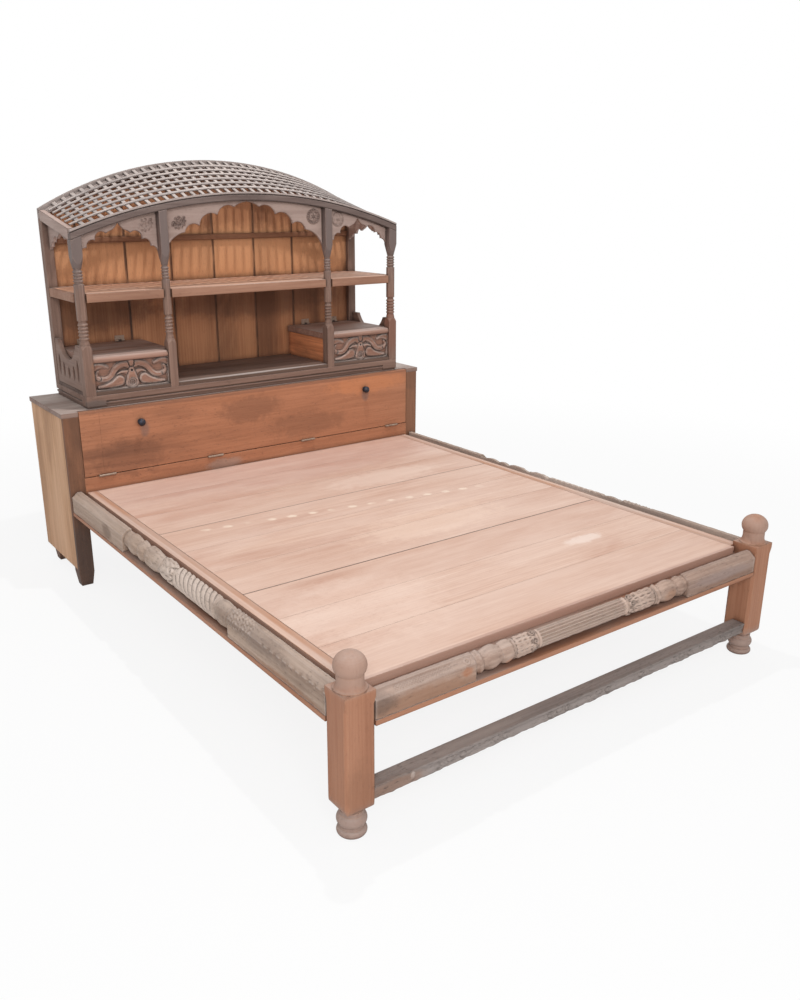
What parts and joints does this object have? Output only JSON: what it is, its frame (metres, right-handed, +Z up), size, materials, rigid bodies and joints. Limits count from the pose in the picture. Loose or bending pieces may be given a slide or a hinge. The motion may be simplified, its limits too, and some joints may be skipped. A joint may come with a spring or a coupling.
{
  "type": "bed with storage head box and vaulted headboard cabinet",
  "caption": "Low platform bed with turned rails, a flap-fronted head box and a headboard cabinet under cusped arches and a lattice vault.",
  "frame": {"origin": "on the floor at the centre of the bed's footprint", "axes": "+Z up, +Y from the foot of the bed to its head, +X to the right seen from the foot"},
  "size_m": [1.806, 2.447, 1.7319],
  "materials": {
    "post_teak": "oiled, worn",
    "weathered_teak": "weathered, dusty",
    "deck_teak": "planed, dusty",
    "warm_teak": "oiled",
    "dark_teak": "dark, weathered",
    "tan_teak": "raw, worn",
    "orange_teak": "fresh cut",
    "iron": "dull"
  },
  "bodies": {
    "bed_frame": {"foot_post_left": "post_teak", "foot_post_right": "post_teak", "foot_rail": "post_teak", "foot_rail_column": "weathered_teak", "side_rail_left": "post_teak", "side_rail_right": "post_teak", "side_column_left": "weathered_teak", "side_column_right": "weathered_teak", "stretcher": "weathered_teak", "ledgers": "post_teak", "cross_bearers": "post_teak", "deck_panel_foot": "deck_teak", "deck_panel_middle": "deck_teak", "deck_panel_head": "deck_teak", "deck_rims": "deck_teak", "box_legs_front": "dark_teak", "box_legs_rear": "dark_teak", "box_side_left": "tan_teak", "box_side_right": "tan_teak", "box_front_rail": "warm_teak", "box_bottom": "warm_teak", "box_cleats": "warm_teak", "box_back": "warm_teak", "box_top": "deck_teak", "hinge_fixed_leaves": "iron", "hinge_pins": "iron", "cabinet_base": "dark_teak", "cabinet_floor": "dark_teak", "corner_post_left": "dark_teak", "corner_post_right": "dark_teak", "middle_post_left": "dark_teak", "middle_post_right": "dark_teak", "rear_posts": "dark_teak", "shelf": "dark_teak", "shelf_edging": "orange_teak", "back_planks": "warm_teak", "back_rail": "dark_teak", "back_boards_upper": "warm_teak", "corner_box_fronts": "dark_teak", "corner_box_sides": "warm_teak", "side_railing_left": "dark_teak", "side_railing_right": "dark_teak", "arch_centre": "dark_teak", "arch_bay_left": "dark_teak", "arch_bay_right": "dark_teak", "arch_side_left": "dark_teak", "arch_side_right": "dark_teak", "arc_board_front": "dark_teak", "arc_board_rear": "dark_teak", "eave_plates": "dark_teak", "lattice_ribs": "weathered_teak", "lattice_strips": "weathered_teak"},
    "flap_body": {"flap": "warm_teak", "flap_knobs": "iron", "hinge_flap_leaves": "iron"},
    "lid_left_body": {"lid_left": "deck_teak", "lid_leaves_left": "iron"},
    "lid_right_body": {"lid_right": "deck_teak", "lid_leaves_right": "iron"}
  },
  "joints": [
    {"name": "flap_hinge", "type": "hinge", "parent": "bed_frame", "child": "flap_body", "pos_m": [0, 0.7865, 0.4715], "axis": [1, 0, 0], "range_deg": [0, 100]},
    {"name": "lid_left_hinge", "type": "hinge", "parent": "bed_frame", "child": "lid_left_body", "pos_m": [-0.58, 1.1883, 0.961], "axis": [-1, 0, 0], "range_deg": [0, 35]},
    {"name": "lid_right_hinge", "type": "hinge", "parent": "bed_frame", "child": "lid_right_body", "pos_m": [0.58, 1.1883, 0.961], "axis": [-1, 0, 0], "range_deg": [0, 35]}
  ]
}
